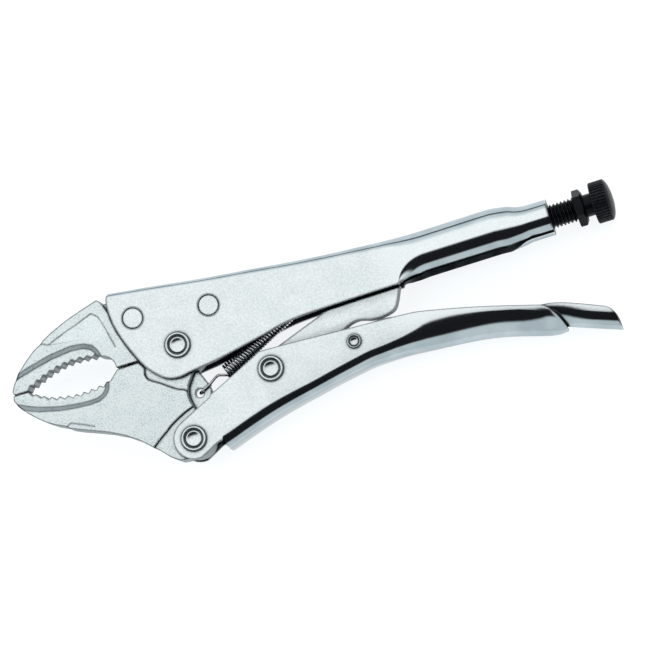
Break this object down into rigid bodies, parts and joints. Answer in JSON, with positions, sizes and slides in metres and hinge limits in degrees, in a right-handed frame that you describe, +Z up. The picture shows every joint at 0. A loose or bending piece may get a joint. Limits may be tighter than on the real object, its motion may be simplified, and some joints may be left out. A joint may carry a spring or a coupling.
{
  "type": "locking pliers",
  "caption": "Locking pliers with curved toothed jaws, a tubular fixed handle with an adjusting screw, a sheet lower handle and a release lever.",
  "frame": {"origin": "centre of the bounding box in X and Y, on the underside where the rivet heads rest", "axes": "+X along the adjusting screw towards its knob, +Y across the handles towards the fixed handle, +Z up through the thickness"},
  "size_m": [0.2508, 0.0744, 0.0182],
  "materials": {
    "chrome_sheet": "bright plated",
    "satin_steel": "satin blasted and plated",
    "black_steel": "black oxide",
    "spring_steel": "drawn wire"
  },
  "bodies": {
    "frame": {"upper_handle": "chrome_sheet", "fixed_jaw": "satin_steel", "jaw_pin_front": "chrome_sheet", "jaw_pin_rear": "chrome_sheet", "jaw_pivot_rivet": "chrome_sheet", "return_spring": "spring_steel"},
    "jaw": {"movable_jaw": "satin_steel"},
    "handle": {"lower_handle": "chrome_sheet", "handle_pivot_rivet": "chrome_sheet", "link_pivot_rivet": "chrome_sheet", "release_lever_rivet": "chrome_sheet"},
    "link": {"toggle_link": "chrome_sheet"},
    "lever": {"release_lever": "chrome_sheet"},
    "nut": {"lock_nut": "black_steel"},
    "screw": {"adjusting_screw": "black_steel"}
  },
  "joints": [
    {"name": "jaw_hinge", "type": "hinge", "parent": "frame", "child": "jaw", "pos_m": [-0.0556, 0.00896, 0.00908], "axis": [0, 0, 1], "range_deg": [0, 15], "deforming": ["return_spring"]},
    {"name": "handle_hinge", "type": "hinge", "parent": "jaw", "child": "handle", "pos_m": [-0.0598, -0.02864, 0.00908], "axis": [0, 0, 1], "range_deg": [-46.5, 0]},
    {"name": "link_hinge", "type": "hinge", "parent": "handle", "child": "link", "pos_m": [-0.0226, -0.01114, 0.00908], "axis": [0, 0, 1], "range_deg": [0, 52.8]},
    {"name": "lever_hinge", "type": "hinge", "parent": "handle", "child": "lever", "pos_m": [0.0121, -0.01074, 0.00908], "axis": [0, 0, 1], "range_deg": [0, 3]},
    {"name": "nut_travel", "type": "slide", "parent": "frame", "child": "nut", "axis": [1, 0, 0], "range_m": [0, 0.012]},
    {"name": "screw_turn", "type": "hinge", "parent": "nut", "child": "screw", "pos_m": [0.1044, 0.01411, 0.00908], "axis": [1, 0, 0], "range_deg": [0, 2880]}
  ],
  "couplings": [
    {"joint": "handle_hinge", "follows": "jaw_hinge", "ratio": -3.0865},
    {"joint": "link_hinge", "follows": "jaw_hinge", "ratio": 3.5044},
    {"joint": "screw_turn", "follows": "nut_travel", "rad_per_m": 4188.8}
  ]
}
